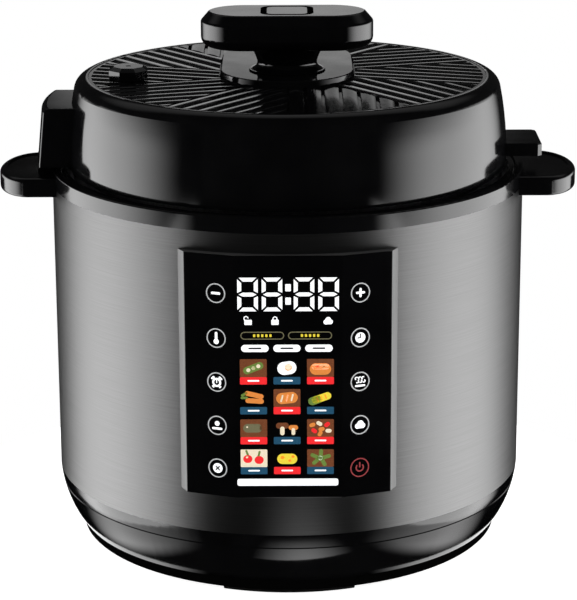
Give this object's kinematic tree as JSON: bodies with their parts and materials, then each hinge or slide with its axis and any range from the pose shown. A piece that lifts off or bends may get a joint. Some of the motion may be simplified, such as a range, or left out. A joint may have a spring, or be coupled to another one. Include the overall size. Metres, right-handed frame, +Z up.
{
  "type": "electric pressure cooker",
  "caption": "Round electric pressure cooker with a steel body, touch panel, side-hinged lid with a ribbed top, turning lock knob, steam release button and side handles.",
  "frame": {"origin": "middle of the standing surface under the feet", "axes": "+Z up along the pot's axis, the control panel faces -Y, the lid's hinge is on the -X side"},
  "size_m": [0.338, 0.284, 0.3171],
  "materials": {
    "black_rubber": "matte",
    "matte_black_plastic": "fine moulded grain",
    "gloss_black_plastic": "high gloss",
    "zinc_steel": "plated",
    "brushed_steel": "brushed round the body",
    "polished_steel": "polished",
    "pressed_steel": "pressed sheet",
    "cast_aluminium": "die cast",
    "nonstick_aluminium": "dark non-stick coat",
    "black_panel": "printed acrylic",
    "silver_paint": "silver satin",
    "circuit_board": "solder mask",
    "brass_pins": "bright",
    "silicone": "translucent white"
  },
  "bodies": {
    "base": {"feet": "black_rubber", "bottom_cover": "matte_black_plastic", "base_housing": "gloss_black_plastic", "base_screws": "zinc_steel", "lower_ring": "gloss_black_plastic", "steel_wrap": "brushed_steel", "upper_ring": "gloss_black_plastic", "rim_trim": "gloss_black_plastic", "right_handle": "gloss_black_plastic", "left_handle": "gloss_black_plastic", "hinge_pin": "polished_steel", "handle_screws": "zinc_steel", "outer_pot": "pressed_steel", "bayonet_ring": "cast_aluminium", "inner_pot": "nonstick_aluminium", "heater_plate": "cast_aluminium", "heater_terminals": "polished_steel", "sensor_bracket": "pressed_steel", "sensor_spring": "polished_steel", "panel_glass": "black_panel", "panel_bezel": "silver_paint", "display_board": "circuit_board", "power_board": "circuit_board", "board_screws": "zinc_steel", "power_inlet": "matte_black_plastic", "inlet_pins": "brass_pins"},
    "sensor": {"sensor_cap": "cast_aluminium"},
    "lid": {"lid_cover": "gloss_black_plastic", "lid_disc": "gloss_black_plastic", "centre_plate": "gloss_black_plastic", "hinge_block": "gloss_black_plastic", "lift_ear": "gloss_black_plastic", "pressure_lid": "polished_steel", "lid_screws": "zinc_steel", "lid_gasket": "silicone", "gasket_ring": "pressed_steel", "exhaust_pipe": "polished_steel", "pipe_nut": "polished_steel", "pipe_shield": "pressed_steel", "lever_bracket": "pressed_steel", "lever_pin": "polished_steel"},
    "lever": {"release_lever": "pressed_steel"},
    "valve": {"pressure_valve": "gloss_black_plastic"},
    "float": {"float_pin": "polished_steel"},
    "knob": {"lock_ring": "cast_aluminium", "drive_shaft": "polished_steel", "shaft_nut": "polished_steel", "knob_grip": "gloss_black_plastic", "knob_cap": "gloss_black_plastic", "button_spring": "polished_steel"},
    "button": {"release_button": "gloss_black_plastic", "push_rod": "polished_steel"}
  },
  "joints": [
    {"name": "lid_hinge", "type": "hinge", "parent": "base", "child": "lid", "pos_m": [-0.1415, 0, 0.235], "axis": [0, -1, 0], "range_deg": [0, 85]},
    {"name": "knob_turn", "type": "hinge", "parent": "lid", "child": "knob", "pos_m": [0, 0, 0.29], "axis": [0, 0, 1], "range_deg": [0, 30]},
    {"name": "button_press", "type": "slide", "parent": "knob", "child": "button", "axis": [0, 0, -1], "range_m": [0, 0.0025], "stiffness_N_per_m": 400, "springref_m": -0.001, "deforming": ["button_spring"]},
    {"name": "lever_tilt", "type": "hinge", "parent": "lid", "child": "lever", "pos_m": [-0.04543, -0.0072, 0.2373], "axis": [-0.1564, 0.9877, 0], "range_deg": [0, 3.2]},
    {"name": "valve_lift", "type": "slide", "parent": "lid", "child": "valve", "axis": [0, 0, 1], "range_m": [0, 0.0025]},
    {"name": "float_rise", "type": "slide", "parent": "lid", "child": "float", "axis": [0, 0, 1], "range_m": [0, 0.0035]},
    {"name": "sensor_plunge", "type": "slide", "parent": "base", "child": "sensor", "axis": [0, 0, 1], "range_m": [-0.002, 0], "stiffness_N_per_m": 300, "springref_m": 0.002, "deforming": ["sensor_spring"]}
  ],
  "couplings": [
    {"joint": "lever_tilt", "follows": "button_press", "rad_per_m": 21.505},
    {"joint": "valve_lift", "follows": "button_press", "ratio": 1}
  ]
}
